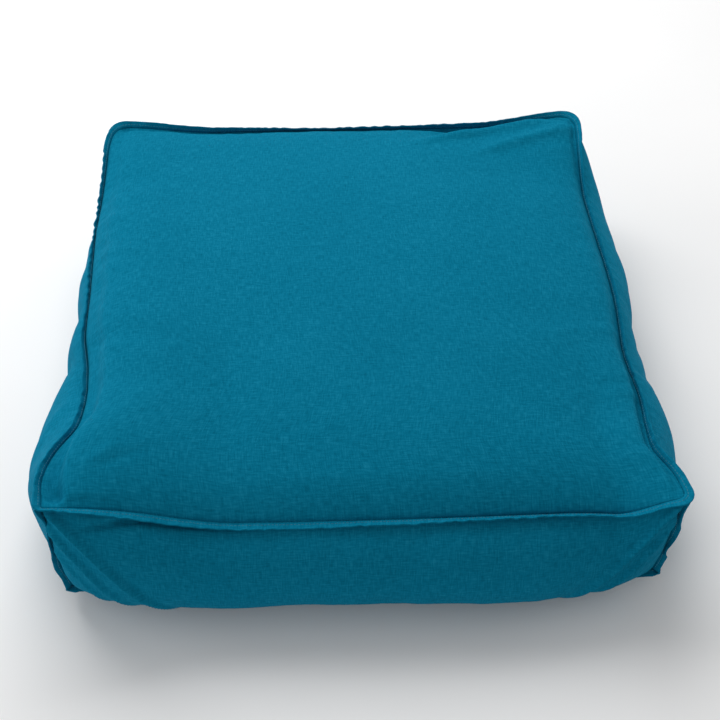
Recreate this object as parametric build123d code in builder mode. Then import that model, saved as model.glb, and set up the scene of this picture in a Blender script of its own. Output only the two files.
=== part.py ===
"""Square box floor cushion: a zipped woven cover with turned-out flange seams, over a filled inner pad.

Row frame in millimetres: +Z up, origin at the middle of the face that rests on the floor, -Y the front,
+Y the rear, where the zip runs along X at mid height.
"""

import os

from build123d import *

# --- driving dimensions -------------------------------------------------------------------------
HALF = 300.0  # seam to seam half width of the square top and bottom panels
BOTTOM_SEAM_Z = 14.0  # bottom seam above the floor
TOP_SEAM_Z = 138.0  # top seam at the middle of each side: a 150 mm boxing strip, shortened by its bulge
SIDE_BULGE = 36.0  # how far a filled side stands out past its seams
BULGE_RUN = 70.0  # length of the curved return from the bulged side to each corner
TOP_CROWN = 45.0  # filled top above the top seam
TOP_RUN = 130.0  # width of the rounded shoulder round the top
BOTTOM_RUN = 70.0  # width of the rounded shoulder round the flat foot
FLAT_BAND = 17.0  # half height of the upright band at the middle of each side

FABRIC = 0.8  # cover cloth
FLANGE = 8.0  # width of the turned-out seam flange
FLANGE_TIP = 4.0  # corner rounding of the flange
THREAD = 0.6  # width of a stitch line
THREAD_HIGH = 0.3  # how far a stitch line stands off the cloth
THREAD_IN = 3.0  # stitch line outside the seam

PAD_GAP = 8.0  # inner pad inside the cover, at the sides
PAD_TOP_GAP = 6.0  # and below the top
PAD_FLOOR_GAP = 2.0  # and above the bottom
CASE = 0.5  # inner pad's case cloth
FILL_GAP = 0.5  # slack between case and filling

ZIP_Z = (BOTTOM_SEAM_Z + TOP_SEAM_Z) / 2
ZIP_FACE = HALF + SIDE_BULGE  # the rear wall's outer surface along the zip
OPENING_HALF = 232.0  # half length of the zip opening
SLOT_HALF = 4.6  # folded edge of a rear strip, from the zip's centre line
FOLD = 14.0  # how far the folded-under edge reaches
TAPE_HALF = 236.0
TAPE_EDGE = 0.9  # tape's inner edge from the centre line
TAPE_WIDE = 15.0
TAPE = 0.6
COIL_WIDE = 2.85
COIL_HIGH = 2.2
COIL_START, COIL_END = -216.0, 214.0
SEAM_IN_ZIP = 9.0  # the zip's stitch lines from its centre line

COIL_EDGE = 1.0  # rounding of the coil's outer edges
COIL_SPLIT = 0.05  # half the gap between the two halves of the coil

TACK_WIDE, TACK_TALL = 1.5, 3.0  # bar tacks across the ends of the opening
TACK_INSET = 3.0

STOP_LONG = 2.5  # crimped stops at the closed end
BOTTOM_STOP_LONG = 4.0
STOP_HALF = 2.9
STOP_OUTER, STOP_INNER = 1.4, 0.8  # stop's thickness over and under the tape
STOP_GAP = 0.2

SLIDER_X = -214.0  # the slider's middle with the zip closed
SLIDER_LONG = 12.0
SLIDER_WIDE = 9.4
SLIDER_CORNER = 2.6
PLATE = 1.2
LOWER_PLATE = 1.0
PLATE_GAP = 0.3  # slider's clearance over the coil and under the tape
LIP_IN, LIP_OUT = 3.2, 4.2
LIP_INSET = 2.0
POST_WIDE = 1.4
POST_LONG = 3.0
POST_INSET = 0.4
POST_CORNER = 0.6
BRIDGE_LONG = 8.2
BRIDGE_OPEN = 5.8
BRIDGE_WIDE = 2.4
BRIDGE_GAP = 1.8
BRIDGE_THICK = 1.1
BRIDGE_CORNER = 0.8
MERGE = 0.1  # how far joined features of one piece run into each other

PULL_BAR = 0.6  # radius of the pull's cross bar
EYE_IN, EYE_OUT = 1.8, 3.0
EYE_LONG = 5.6
PULL_LONG = 30.0
PULL_WAIST = 2.2  # half width of the waist past the eye
PULL_WAIST_AT = 5.0
PULL_TIP_ARC = 3.0  # length of the rounded tip
PULL_TIP_HOLE = 1.3
PULL_HOLE_INSET = 3.5

TAPE_FACE = ZIP_FACE - 2 * FABRIC  # the tape's outer face, behind the folded edge
COIL_TOP = TAPE_FACE + COIL_HIGH
PLATE_FACE = COIL_TOP + PLATE_GAP  # underside of the slider's outer plate
PLATE_TOP = PLATE_FACE + PLATE
PIVOT_Y = PLATE_TOP + BRIDGE_GAP / 2
FAR = 2 * HALF  # past everything


# --- forms shared by the cover, the case and the filling ------------------------------------------
def shoulder(run, height, along):
    """Height of a circular shoulder that is level at 0 and has dropped by height at run."""
    radius = (run**2 + height**2) / (2 * height)
    return height - radius + (radius**2 - along**2) ** 0.5


def crown_section(plane, half, run, height):
    """A flat-topped arch on the plane's X axis, whose rounded ends come down to its base."""
    flat = half - run
    with BuildSketch(plane) as section:
        with BuildLine():
            top = Line((-flat, height), (flat, height))
            TangentArc(top @ 1, (half, 0), tangent=top % 1)
            Line((half, 0), (-half, 0))
            TangentArc(top @ 0, (-half, 0), tangent=-(top % 0))
        make_face()
    return section.sketch


def crown(half, run, height):
    """Filled square panel: level in the middle, rounded down to its four straight seams at Z 0."""
    flat = half - run
    edge_height = 0.6  # a panel lies almost flat along its seams
    with BuildPart() as cap:
        middle = crown_section(Plane.XZ.offset(-flat), half, run, height)
        extrude(middle, amount=2 * flat)
        stations = [0, run / 3, 2 * run / 3, run]
        for side in (1, -1):
            sections = []
            for along in stations:
                here = max(shoulder(run, height, along), edge_height)
                sections.append(crown_section(Plane.XZ.offset(-side * (flat + along)), half, run, here))
            loft(sections)
    return cap.part


def bulged_square(z, half, bulge):
    """Plan outline at one height: four sides pushed out by bulge, curving back to the corners."""
    flat = half - BULGE_RUN
    with BuildSketch(Plane.XY.offset(z)) as outline:
        with BuildLine():
            for turn in range(4):
                corner = Vector(half, -half).rotate(Axis.Z, 90 * turn)
                before = Vector(half, half).rotate(Axis.Z, 90 * turn - 180)
                start = Vector(-flat, -half - bulge).rotate(Axis.Z, 90 * turn)
                end = Vector(flat, -half - bulge).rotate(Axis.Z, 90 * turn)
                side = Line(start, end)
                TangentArc(side @ 1, corner, tangent=side % 1)
                TangentArc(side @ 0, before, tangent=-(side % 0))
        make_face()
    return outline.sketch


def barrel(half):
    """The four filled sides between the two seams, with an upright band at mid height."""
    seam_bulge = 0.8  # a side is almost straight along its seams
    low_band, high_band = ZIP_Z - FLAT_BAND, ZIP_Z + FLAT_BAND
    rise = TOP_SEAM_Z - high_band
    with BuildPart() as sides:
        extrude(bulged_square(low_band, half, SIDE_BULGE), amount=2 * FLAT_BAND)
        for seat, direction in ((high_band, 1), (low_band, -1)):
            sections = []
            for share in (0, 0.4, 0.75, 1):
                bulge = max(SIDE_BULGE * (1 - share**2), seam_bulge)
                sections.append(bulged_square(seat + direction * share * rise, half, bulge))
            loft(sections)
    return sides.part


def square_ring(z, inner, outer, thick, tip=0.0):
    """A flat square frame from z up by thick, its outer corners rounded by tip."""
    with BuildPart() as ring:
        with BuildSketch(Plane.XY.offset(z)):
            if tip:
                RectangleRounded(2 * outer, 2 * outer, tip)
            else:
                Rectangle(2 * outer, 2 * outer)
            Rectangle(2 * inner, 2 * inner, mode=Mode.SUBTRACT)
        extrude(amount=thick)
    return ring.part


def corner_plate(turn, inside, outside, near, far):
    """Upright strip on a corner's diagonal, from inside to outside of the corner, near to far off its plane."""
    diagonal = Plane.XY.rotated((0, 0, 45 + 90 * turn))
    reach = HALF * 2**0.5
    with BuildPart() as plate:
        with BuildSketch(diagonal.offset(BOTTOM_SEAM_Z)):
            with Locations((reach + (inside + outside) / 2, (near + far) / 2)):
                Rectangle(outside - inside, far - near)
        extrude(amount=TOP_SEAM_Z - BOTTOM_SEAM_Z)
    return plate.part


def block(x, y, z):
    """A box between the given pairs of X, Y and Z."""
    with BuildPart() as box:
        with BuildSketch(Plane.XY.offset(z[0])):
            with Locations(((x[0] + x[1]) / 2, (y[0] + y[1]) / 2)):
                Rectangle(x[1] - x[0], y[1] - y[0])
        extrude(amount=z[1] - z[0])
    return box.part


def save(name, piece):
    """Labels one finished piece and writes it as its own STEP."""
    piece.label = name
    export_step(piece, f"parts/{name}.step")


# --- cover ------------------------------------------------------------------------------------------
def make_top_panel():
    with BuildPart() as top_panel:
        with Locations((0, 0, TOP_SEAM_Z)):
            add(crown(HALF, TOP_RUN, TOP_CROWN))
            add(crown(HALF - 1.5 * FABRIC, TOP_RUN, TOP_CROWN - FABRIC), mode=Mode.SUBTRACT)
        add(square_ring(TOP_SEAM_Z, HALF - 1.5 * FABRIC, HALF + FLANGE, FABRIC, FLANGE_TIP))
    save("top_panel", top_panel.part)


def make_bottom_panel():
    with BuildPart() as bottom_panel:
        with Locations(Location((0, 0, BOTTOM_SEAM_Z), (180, 0, 0))):
            add(crown(HALF, BOTTOM_RUN, BOTTOM_SEAM_Z))
            add(crown(HALF - 4 * FABRIC, BOTTOM_RUN, BOTTOM_SEAM_Z - FABRIC), mode=Mode.SUBTRACT)
        lower = BOTTOM_SEAM_Z - FABRIC
        add(square_ring(lower, HALF - 4 * FABRIC, HALF + FLANGE, FABRIC, FLANGE_TIP))
    save("bottom_panel", bottom_panel.part)


def make_side_band():
    """All four sides with their layers of the flanges, before they are cut into panels."""
    with BuildPart() as band:
        add(barrel(HALF))
        add(barrel(HALF - FABRIC), mode=Mode.SUBTRACT)
        add(square_ring(TOP_SEAM_Z - FABRIC, HALF - FABRIC, HALF + FLANGE, FABRIC, FLANGE_TIP))
        add(square_ring(BOTTOM_SEAM_Z, HALF - FABRIC, HALF + FLANGE, FABRIC, FLANGE_TIP))
        for turn in range(4):
            add(corner_plate(turn, -FABRIC, FLANGE, -FABRIC, FABRIC))
    return band.part


def side_wedge(turn):
    """Everything between two diagonals: turn 0 is the front, then right, rear and left."""
    with BuildPart() as wedge:
        with BuildSketch(Plane.XY.rotated((0, 0, 90 * turn))):
            Polygon((0, 0), (-FAR, -FAR), (FAR, -FAR), align=None)
        extrude(amount=FAR)
    return wedge.part


def make_side_panels(band):
    for turn, name in ((0, "front_side_panel"), (1, "right_side_panel"), (3, "left_side_panel")):
        with BuildPart() as panel:
            add(band)
            add(side_wedge(turn), mode=Mode.INTERSECT)
        save(name, panel.part)


def make_rear_pieces(band):
    """The rear side: a strip above and below the zip, and a short piece at each end of it."""
    with BuildPart() as rear:
        add(band)
        add(side_wedge(2), mode=Mode.INTERSECT)
    spans = {"left": (-FAR, -OPENING_HALF), "right": (OPENING_HALF, FAR)}
    for side, x_span in spans.items():
        with BuildPart() as end_piece:
            add(rear.part)
            add(block(x_span, (0, FAR), (0, FAR)), mode=Mode.INTERSECT)
        save(f"rear_end_piece_{side}", end_piece.part)
    along = (-OPENING_HALF, OPENING_HALF)
    for where, direction in (("upper", 1), ("lower", -1)):
        edge, fold, past = (ZIP_Z + direction * offset for offset in (SLOT_HALF, FOLD, FAR))
        with BuildPart() as strip:
            add(rear.part)
            add(block(along, (0, FAR), sorted((edge, past))), mode=Mode.INTERSECT)
            add(block(along, (TAPE_FACE, ZIP_FACE - FABRIC), sorted((edge, fold))))
        save(f"rear_strip_{where}", strip.part)


# --- seams ------------------------------------------------------------------------------------------
def make_seam_threads():
    """Needle thread on top of each flange and bobbin thread under it."""
    inner, outer = HALF + THREAD_IN, HALF + THREAD_IN + THREAD
    for name, seam in (("top_seam_thread", TOP_SEAM_Z), ("bottom_seam_thread", BOTTOM_SEAM_Z)):
        with BuildPart() as thread:
            add(square_ring(seam + FABRIC, inner, outer, THREAD_HIGH))
            add(square_ring(seam - FABRIC - THREAD_HIGH, inner, outer, THREAD_HIGH))
            # each corner's upright flange interrupts the line on its side of the seam
            for turn in range(4):
                gap = FABRIC + THREAD_HIGH
                add(corner_plate(turn, 0, FLANGE, -gap, gap), mode=Mode.SUBTRACT)
        save(name, thread.part)
    corners = ("rear_right", "rear_left", "front_left", "front_right")
    for turn, corner in enumerate(corners):
        with BuildPart() as thread:
            for near, far in ((FABRIC, FABRIC + THREAD_HIGH), (-FABRIC - THREAD_HIGH, -FABRIC)):
                add(corner_plate(turn, THREAD_IN, THREAD_IN + THREAD, near, far))
            # the corner seam stops short of the two ring seams
            trim = 2 * FABRIC
            span = (BOTTOM_SEAM_Z + trim, TOP_SEAM_Z - trim)
            add(block((-FAR, FAR), (-FAR, FAR), span), mode=Mode.INTERSECT)
        save(f"corner_seam_thread_{corner}", thread.part)


def make_zip_threads():
    """The lines that hold the tapes to the rear strips, and the bar tacks across both ends."""
    for where, direction in (("upper", 1), ("lower", -1)):
        middle = ZIP_Z + direction * SEAM_IN_ZIP
        span = (middle - THREAD / 2, middle + THREAD / 2)
        along = (-OPENING_HALF, OPENING_HALF)
        with BuildPart() as thread:
            add(block(along, (ZIP_FACE, ZIP_FACE + THREAD_HIGH), span))
            under = TAPE_FACE - TAPE
            add(block(along, (under - THREAD_HIGH, under), span))
        save(f"zip_thread_{where}", thread.part)
    for side, direction in (("left", -1), ("right", 1)):
        near = direction * (OPENING_HALF - TACK_INSET)
        tack = sorted((near, near + direction * TACK_WIDE))
        first, last = SLOT_HALF + 0.5, SLOT_HALF + 0.5 + TACK_TALL
        with BuildPart() as bar_tack:
            for offset in (-1, 1):
                span = sorted((ZIP_Z + offset * first, ZIP_Z + offset * last))
                add(block(tack, (ZIP_FACE, ZIP_FACE + THREAD_HIGH), span))
        save(f"zip_bar_tack_{side}", bar_tack.part)


# --- zip --------------------------------------------------------------------------------------------
def make_zip_chain():
    """Two woven tapes, each with its half of the coil on the outer face of its inner edge."""
    for where, direction in (("upper", 1), ("lower", -1)):
        tape_span = sorted(ZIP_Z + direction * edge for edge in (TAPE_EDGE, TAPE_WIDE))
        with BuildPart() as tape:
            add(block((-TAPE_HALF, TAPE_HALF), (TAPE_FACE - TAPE, TAPE_FACE), tape_span))
        save(f"zip_tape_{where}", tape.part)
        coil_span = sorted(ZIP_Z + direction * edge for edge in (COIL_SPLIT, COIL_WIDE))
        with BuildPart() as coil:
            add(block((COIL_START, COIL_END), (TAPE_FACE, COIL_TOP), coil_span))
            outer_edges = coil.edges().filter_by(Axis.X).group_by(Axis.Y)[-1]
            fillet(outer_edges, radius=COIL_EDGE)
        save(f"zip_coil_{where}", coil.part)


def make_zip_stops():
    """A crimp on each tape past the closed end, and one staple across both tapes at the open end."""
    closed_end = SLIDER_X - SLIDER_LONG / 2 - 5 * STOP_GAP
    outer_face, inner_face = TAPE_FACE + STOP_OUTER, TAPE_FACE - TAPE - STOP_INNER
    for where, direction in (("upper", 1), ("lower", -1)):
        web = sorted(ZIP_Z + direction * edge for edge in (STOP_GAP, TAPE_EDGE))
        wide = sorted(ZIP_Z + direction * edge for edge in (STOP_GAP, STOP_HALF))
        along = (closed_end - STOP_LONG, closed_end)
        with BuildPart() as stop:
            add(block(along, (TAPE_FACE, outer_face), wide))
            add(block(along, (inner_face, TAPE_FACE - TAPE), wide))
            add(block(along, (inner_face, outer_face), web))
        save(f"zip_top_stop_{where}", stop.part)
    along = (COIL_END + STOP_GAP, COIL_END + STOP_GAP + BOTTOM_STOP_LONG)
    both = (ZIP_Z - STOP_HALF, ZIP_Z + STOP_HALF)
    with BuildPart() as bottom_stop:
        add(block(along, (TAPE_FACE, outer_face), both))
        add(block(along, (inner_face, TAPE_FACE - TAPE), both))
        add(block(along, (inner_face, outer_face), (ZIP_Z - TAPE_EDGE, ZIP_Z + TAPE_EDGE)))
    save("zip_bottom_stop", bottom_stop.part)


def make_slider():
    """Slider body: an outer and an inner plate joined by the post between the tapes, with a bridge."""
    half_long = SLIDER_LONG / 2
    under = TAPE_FACE - TAPE - PLATE_GAP
    with BuildPart() as slider:
        for face, thick in ((PLATE_FACE, PLATE), (under - LOWER_PLATE, LOWER_PLATE)):
            with BuildSketch(Plane.XZ.offset(-face - thick)):
                with Locations((SLIDER_X, ZIP_Z)):
                    RectangleRounded(SLIDER_LONG, SLIDER_WIDE, SLIDER_CORNER)
            extrude(amount=thick)
        for direction in (1, -1):
            lip = sorted(ZIP_Z + direction * edge for edge in (LIP_IN, LIP_OUT))
            run = (SLIDER_X - half_long + LIP_INSET, SLIDER_X + half_long - LIP_INSET)
            add(block(run, (TAPE_FACE + PLATE_GAP, PLATE_FACE + MERGE), lip))
        # the post that parts the two halves of the coil
        with BuildSketch(Plane.XZ.offset(-PLATE_FACE - MERGE)):
            with Locations((SLIDER_X - half_long + POST_INSET + POST_LONG / 2, ZIP_Z)):
                RectangleRounded(POST_LONG, POST_WIDE, POST_CORNER)
        extrude(amount=PLATE_FACE - under + 2 * MERGE)
        # the bridge that carries the pull
        with BuildSketch(Plane.XY.offset(ZIP_Z - BRIDGE_WIDE / 2)):
            with Locations((SLIDER_X, PLATE_TOP + (BRIDGE_GAP + BRIDGE_THICK) / 2 - MERGE)):
                RectangleRounded(BRIDGE_LONG, BRIDGE_GAP + BRIDGE_THICK + 2 * MERGE, BRIDGE_CORNER)
            with Locations((SLIDER_X, PLATE_TOP + BRIDGE_GAP / 2)):
                Rectangle(BRIDGE_OPEN, BRIDGE_GAP, mode=Mode.SUBTRACT)
        extrude(amount=BRIDGE_WIDE)
    save("zip_slider", slider.part)


def make_pull():
    """Pull tab: an eye whose cross bar runs under the bridge, and a flat tab with a hole at its tip."""
    with BuildPart() as pull:
        with BuildSketch(Plane.XZ.offset(-PIVOT_Y - PULL_BAR)):
            with BuildLine():
                tip_x = SLIDER_X + PULL_LONG
                arc_x = tip_x - PULL_TIP_ARC
                waist_x = SLIDER_X + EYE_LONG + PULL_WAIST_AT
                Polyline(
                    (SLIDER_X, ZIP_Z - EYE_OUT),
                    (SLIDER_X, ZIP_Z + EYE_OUT),
                    (SLIDER_X + EYE_LONG, ZIP_Z + EYE_OUT),
                    (waist_x, ZIP_Z + PULL_WAIST),
                    (arc_x, ZIP_Z + EYE_OUT),
                )
                ThreePointArc((arc_x, ZIP_Z + EYE_OUT), (tip_x, ZIP_Z), (arc_x, ZIP_Z - EYE_OUT))
                Polyline(
                    (arc_x, ZIP_Z - EYE_OUT),
                    (waist_x, ZIP_Z - PULL_WAIST),
                    (SLIDER_X + EYE_LONG, ZIP_Z - EYE_OUT),
                    (SLIDER_X, ZIP_Z - EYE_OUT),
                )
            make_face()
            with Locations((SLIDER_X + (EYE_LONG - 2) / 2, ZIP_Z)):
                Rectangle(EYE_LONG + 2, 2 * EYE_IN, mode=Mode.SUBTRACT)
            with Locations((tip_x - PULL_HOLE_INSET, ZIP_Z)):
                Circle(PULL_TIP_HOLE, mode=Mode.SUBTRACT)
        extrude(amount=2 * PULL_BAR)
        with BuildSketch(Plane.XY.offset(ZIP_Z - EYE_OUT)):
            with Locations((SLIDER_X, PIVOT_Y)):
                Circle(PULL_BAR)
        extrude(amount=2 * EYE_OUT)
    save("zip_pull", pull.part)


# --- inner pad --------------------------------------------------------------------------------------
def make_pad():
    """Case of top, bottom and one boxing strip, and the filling inside it."""
    half = HALF - PAD_GAP
    high, low = TOP_CROWN - PAD_TOP_GAP, BOTTOM_SEAM_Z - PAD_FLOOR_GAP
    with BuildPart() as case_top:
        with Locations((0, 0, TOP_SEAM_Z)):
            add(crown(half, TOP_RUN, high))
            add(crown(half - 1.5 * CASE, TOP_RUN, high - CASE), mode=Mode.SUBTRACT)
    save("pad_case_top", case_top.part)
    with BuildPart() as case_bottom:
        with Locations(Location((0, 0, BOTTOM_SEAM_Z), (180, 0, 0))):
            add(crown(half, BOTTOM_RUN, low))
            add(crown(half - 4 * CASE, BOTTOM_RUN, low - CASE), mode=Mode.SUBTRACT)
    save("pad_case_bottom", case_bottom.part)
    with BuildPart() as case_boxing:
        add(barrel(half))
        add(barrel(half - CASE), mode=Mode.SUBTRACT)
    save("pad_case_boxing", case_boxing.part)
    inside = half - 5 * CASE - FILL_GAP
    with BuildPart() as filling:
        add(barrel(inside))
        with Locations((0, 0, TOP_SEAM_Z)):
            add(crown(inside, TOP_RUN, high - CASE - FILL_GAP))
        with Locations(Location((0, 0, BOTTOM_SEAM_Z), (180, 0, 0))):
            add(crown(inside, BOTTOM_RUN, low - CASE - FILL_GAP))
    save("pad_filling", filling.part)


os.makedirs("parts", exist_ok=True)
make_top_panel()
make_bottom_panel()
side_band = make_side_band()
make_side_panels(side_band)
make_rear_pieces(side_band)
make_seam_threads()
make_zip_threads()
make_zip_chain()
make_zip_stops()
make_slider()
make_pull()
make_pad()
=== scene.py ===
"""Looks of the square box floor cushion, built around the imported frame.

Metres, +Z up, -Y the front, +Y the rear with the zip. Every cut piece of cloth is a grid of points, and its
"cloth" UV layer is its place on the flat cloth in metres, so the weave follows the piece. The sides are
numbered 0 front, 1 right, 2 rear and 3 left. Each runs anticlockwise, seen from above, from its start corner
to its end corner, and the corners are numbered by the side that starts there.
"""

import math

import bmesh
import bpy
import numpy as np
from mathutils import Matrix, Vector


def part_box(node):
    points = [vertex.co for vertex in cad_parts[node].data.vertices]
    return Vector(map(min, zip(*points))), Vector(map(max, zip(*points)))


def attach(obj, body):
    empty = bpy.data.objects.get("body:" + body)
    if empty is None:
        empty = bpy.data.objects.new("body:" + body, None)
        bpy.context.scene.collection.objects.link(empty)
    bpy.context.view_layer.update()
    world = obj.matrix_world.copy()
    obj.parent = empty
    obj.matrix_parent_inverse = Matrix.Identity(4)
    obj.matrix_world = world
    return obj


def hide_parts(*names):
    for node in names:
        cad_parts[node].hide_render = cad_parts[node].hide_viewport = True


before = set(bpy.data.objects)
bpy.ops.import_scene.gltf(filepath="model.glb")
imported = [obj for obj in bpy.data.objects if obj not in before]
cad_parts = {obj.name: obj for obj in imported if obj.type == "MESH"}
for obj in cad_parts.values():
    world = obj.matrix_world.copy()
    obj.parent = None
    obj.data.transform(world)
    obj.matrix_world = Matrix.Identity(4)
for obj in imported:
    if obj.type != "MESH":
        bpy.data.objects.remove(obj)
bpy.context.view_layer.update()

# --- sizes, from the frame ---
TOP_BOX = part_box("top_panel")
BOTTOM_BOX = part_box("bottom_panel")
UPPER_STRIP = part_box("rear_strip_upper")
LOWER_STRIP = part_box("rear_strip_lower")
UPPER_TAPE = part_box("zip_tape_upper")
LOWER_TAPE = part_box("zip_tape_lower")
UPPER_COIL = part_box("zip_coil_upper")
LOWER_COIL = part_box("zip_coil_lower")

FLANGE = 0.008
CLOTH = 0.0008
HALF = TOP_BOX[1].x - FLANGE
TOP_SEAM = TOP_BOX[0].z
BOTTOM_SEAM = BOTTOM_BOX[1].z
CROWN_TOP = TOP_BOX[1].z
ZIP_FACE = UPPER_STRIP[1].y
ZIP_HALF = UPPER_STRIP[1].x
ZIP_Z = (UPPER_STRIP[0].z + LOWER_STRIP[1].z) / 2
SLOT_HALF = UPPER_STRIP[0].z - ZIP_Z
BOXING = 0.150  # cut height of the boxing between its seams
CASE_CLOTH = 0.0005
# how far the pad's case and its filling stay inside the cover, and over its underside
CASE_GAP, CASE_FLOOR_GAP = 0.0088, 0.0024
FILLING_GAP, FILLING_FLOOR_GAP = 0.0105, 0.0035
PAD = 0.600  # cut side of the pad's case
FLAT_BAND = 0.017  # half height of the upright band along the zip

# --- how this cushion has settled ---
# heights of the seam corners: front left, front right, rear right, rear left
CORNER_TOP = (0.163, 0.153, 0.174, 0.170)
CORNER_BOTTOM = (0.024, 0.024, 0.020, 0.020)
# how far each corner is pushed out past the square, along both its sides
TOP_CORNER_OUT = (0.005, 0.008, 0.0, 0.0)
BOTTOM_CORNER_OUT = (0.0, 0.002, 0.0, 0.0)
CORNER_SPREAD = 0.18  # share of a side over which that push dies away
CORNER_RADIUS = (0.004, 0.009, 0.022, 0.020)
# how far a lifted corner reaches along the side that ends there and the side that starts there
CORNER_REACH = ((0.28, 0.30), (0.10, 0.24), (0.24, 0.22), (0.22, 0.26))
TOP_MIDDLE = (TOP_SEAM - 0.012, TOP_SEAM + 0.001, TOP_SEAM + 0.020, TOP_SEAM + 0.001)
BOTTOM_MIDDLE = BOTTOM_SEAM - 0.004
BOTTOM_PULLED_IN = 0.004  # the bottom seams, at the middle of each side
# how far the top seam is pulled in: (share of the side, metres)
PULLED_IN = (
    ((0, 0), (0.2, -0.001), (0.5, -0.003), (0.8, -0.002), (1, 0)),
    ((0, 0), (0.05, 0.003), (0.10, 0.012), (0.15, 0.009), (0.22, 0.005), (0.32, 0.009), (0.45, 0.003),
     (0.8, 0.004), (1, 0)),
    ((0, 0), (0.3, -0.002), (0.7, -0.002), (1, 0)),
    ((0, 0), (0.06, -0.0045), (0.15, -0.0065), (0.3, -0.008), (0.5, -0.001), (0.6, 0.002), (0.68, 0.011),
     (0.77, 0.0145), (0.82, 0.012), (0.89, -0.003), (0.94, -0.006), (1, 0)),
)
# how far the fullest line of each side stands out past the corners: (share of the side, metres)
FULLNESS = (
    ((0, 0.038), (0.1, 0.044), (0.2, 0.046), (0.5, 0.047), (0.8, 0.048), (0.9, 0.038), (1, 0.034)),
    ((0, 0.034), (0.2, 0.043), (0.32, 0.037), (0.4, 0.029), (0.48, 0.031), (0.56, 0.040), (0.8, 0.041),
     (1, 0.040)),
    ((0, 0.035), (0.1, 0.0375), (0.9, 0.0375), (1, 0.035)),
    ((0, 0.022), (0.28, 0.023), (0.38, 0.031), (0.45, 0.029), (0.5, 0.025), (0.56, 0.031), (0.62, 0.028),
     (0.68, 0.042), (0.75, 0.050), (0.85, 0.052), (0.92, 0.048), (1, 0.036)),
)
# how each side's fullness dies away towards its corners: (squareness, softness)
FULL_ENDS = ((11, 0.55), (6, 0.8), (8, 0.6), (6, 0.8))
# handles of a side's section, over its bottom seam and under its top seam
LOW_HANDLE, HIGH_HANDLE = 0.006, 0.026
LOW_FULLNESS = (0.14, 0.10, 0.0, 0.10)  # how much fuller each side is in its lower half
# shoulders of the crown along its left, right, front and rear edges: (squareness, softness)
SHOULDERS = ((5.5, 0.60), (4.8, 0.68), (4.2, 0.80), (3.0, 1.05))
# the groove inside each top seam, where the cloth stands up with the flange: its distance from the seam and
# its depth as (share of the side, metres)
GROOVE_AT = (0.006, 0.006, 0.008, 0.014)
GROOVE = (
    ((0, 0.003), (0.1, 0.001), (1, 0)),
    ((0, 0.001), (0.04, 0.003), (0.13, 0.008), (0.25, 0.006), (0.5, 0.004), (1, 0.004)),
    ((0, 0.004), (0.1, 0.006), (0.3, 0.009), (0.45, 0.006), (1, 0.006)),
    ((0, 0.004), (0.5, 0.005), (0.68, 0.008), (0.8, 0.014), (0.97, 0.015), (1, 0.014)),
)
GROOVE_FADE = 0.014  # how far from the ends of its side a groove reaches its depth
# a groove's section: how fast it falls in from the seam, how fast it rises again, and how late
GROOVE_FALL, GROOVE_RISE, GROOVE_LATE = 0.7, 0.117, 6
# how far the flange stands above the level, in degrees: at the corners, below, and along each top seam
CORNER_TILT = (44, 12, 40, 40)
BOTTOM_TILT = -6
TOP_TILT = (
    ((0.06, 26), (0.9, 28)),
    ((0.06, 40), (0.14, 66), (0.5, 68), (0.9, 60)),
    ((0.1, 72), (0.9, 72)),
    ((0.1, 64), (0.5, 66), (0.8, 60), (0.94, 56)),
)
# how far the flange of each upright seam leans to the side that starts there: (share of its height, lean)
UPRIGHT_LEAN = (
    ((0, 0), (0.25, -0.2), (0.7, 0.8), (0.92, 1.3), (1, 0)),
    ((0, 0), (0.2, 0.1), (0.36, -0.9), (0.5, -0.1), (0.92, -0.5), (1, 0)),
    ((0, 0), (1, 0)),
    ((0, 0), (1, 0)),
)
# how strongly each side's seams rope and pucker
ROPING = (0.45, 0.6, 0.4, 0.8)

COARSE_ALONG, COARSE_UP = 96, 24
ALONG, UP = 240, 64
END_COLUMNS = 28
STRIP_ROWS = 26
SEAM_CORE = -0.0005  # where a flange's cloth starts, from the seam line
STITCH_IN = 0.003  # stitches outside the seam
HEM = 0.0092  # folded edge of a rear strip
STRIP_UP = 0.066  # cut height of a rear strip between its slot edge and its seam
BAND_FADE = 0.010  # width over which the flat band along the zip fades out
BAND_END = 0.010  # how far that band goes on past the zip's ends
TACK_TURNS = 26
TOP_RELIEF, BOTTOM_RELIEF = 0.0011, 0.0004  # height of the soft lumps in the filled cloth
LARGE_LUMP, SMALL_LUMP = 0.075, 0.032  # and how long they are
# the puckers along a seam: (length, reach from the seam, height)
PUCKERS = ((0.0052, 0.007, 0.00055), (0.011, 0.016, 0.0009), (0.027, 0.034, 0.0012))
COIL_PITCH = 0.0015
COIL_WIRE = 0.00034
COIL_LOCK = 0.00045  # how far each half of the coil reaches past the middle

# the cloth simulation
SEAM_EASE = 0.006
HOLD, SEAM_HOLD, FLOOR_HOLD, ZIP_HOLD = 0.08, 0.5, 0.8, 1.0
SEAM_BAND = 0.03  # how far from the top seams SEAM_HOLD reaches
PRESSURE = 1.0
SETTLE_FRAMES = 20
LARGEST_SHIFT = 0.012

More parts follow.
